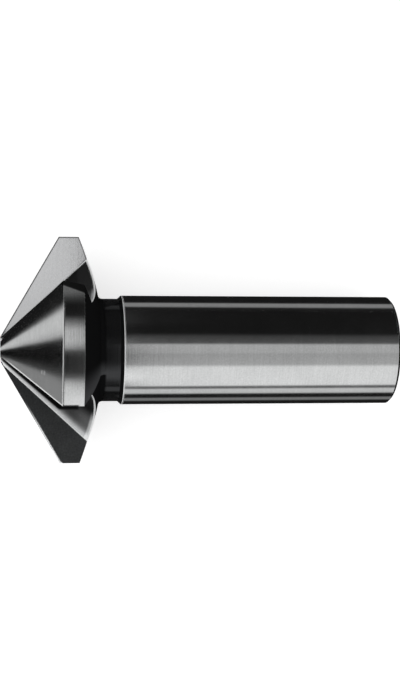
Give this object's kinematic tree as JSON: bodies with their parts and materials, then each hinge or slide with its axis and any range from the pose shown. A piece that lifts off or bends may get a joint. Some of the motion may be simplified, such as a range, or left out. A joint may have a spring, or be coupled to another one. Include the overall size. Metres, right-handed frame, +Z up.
{
  "type": "countersink bit",
  "caption": "One-piece rotary countersink bit: fluted 120 degree cutting cone with relieved teeth, short margin, thinner neck and plain straight shank.",
  "frame": {"origin": "centre of the bounding box in plan, on the surface the bit rests on", "axes": "+X from the cutting tip towards the shank's end, +Z up from the resting surface, +Y to the left looking along +X; the tool's axis drops towards +X by the rest angle"},
  "size_m": [0.044, 0.0249, 0.0233],
  "materials": {
    "tool_steel": "ground bright on the cone, margin and shank, dull light grey on the cutting faces, left dark in the flutes, back of the head and neck"
  },
  "bodies": {
    "root": {"countersink_bit": "tool_steel"}
  },
  "joints": []
}
